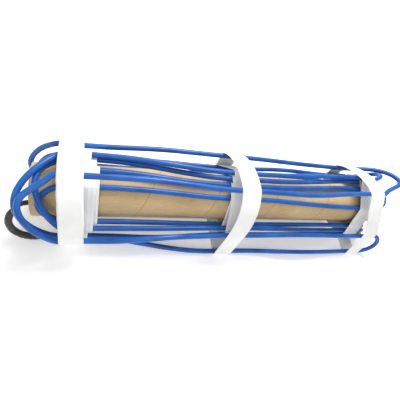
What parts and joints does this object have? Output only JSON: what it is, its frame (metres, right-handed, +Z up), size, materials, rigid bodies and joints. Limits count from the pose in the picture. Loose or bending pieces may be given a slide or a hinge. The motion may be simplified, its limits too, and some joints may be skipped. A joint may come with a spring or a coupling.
{
  "type": "snow melting cable mat roll",
  "caption": "Heating cable for melting snow, laid in runs on white tapes and rolled round a cardboard tube, with a black splice sleeve and stowed lead.",
  "frame": {"origin": "middle of the underside of the whole roll's box, on the floor that it lies on", "axes": "+X along the tube, away from the splice sleeve; +Z up; +Y towards the back of the roll"},
  "size_m": [0.527, 0.1244, 0.1084],
  "materials": {
    "cable_jacket": "satin blue jacket",
    "kraft_board": "plain brown board, spiral wound",
    "white_tape": "smooth white cloth tape",
    "black_sleeve": "crinkled heat-shrink",
    "black_lead": "matt black jacket"
  },
  "bodies": {
    "root": {"core_tube": "kraft_board", "heating_cable": "cable_jacket", "tape_left": "white_tape", "tape_middle": "white_tape", "tape_right": "white_tape", "splice_sleeve": "black_sleeve", "cold_lead": "black_lead", "end_seal": "black_sleeve"}
  },
  "joints": []
}
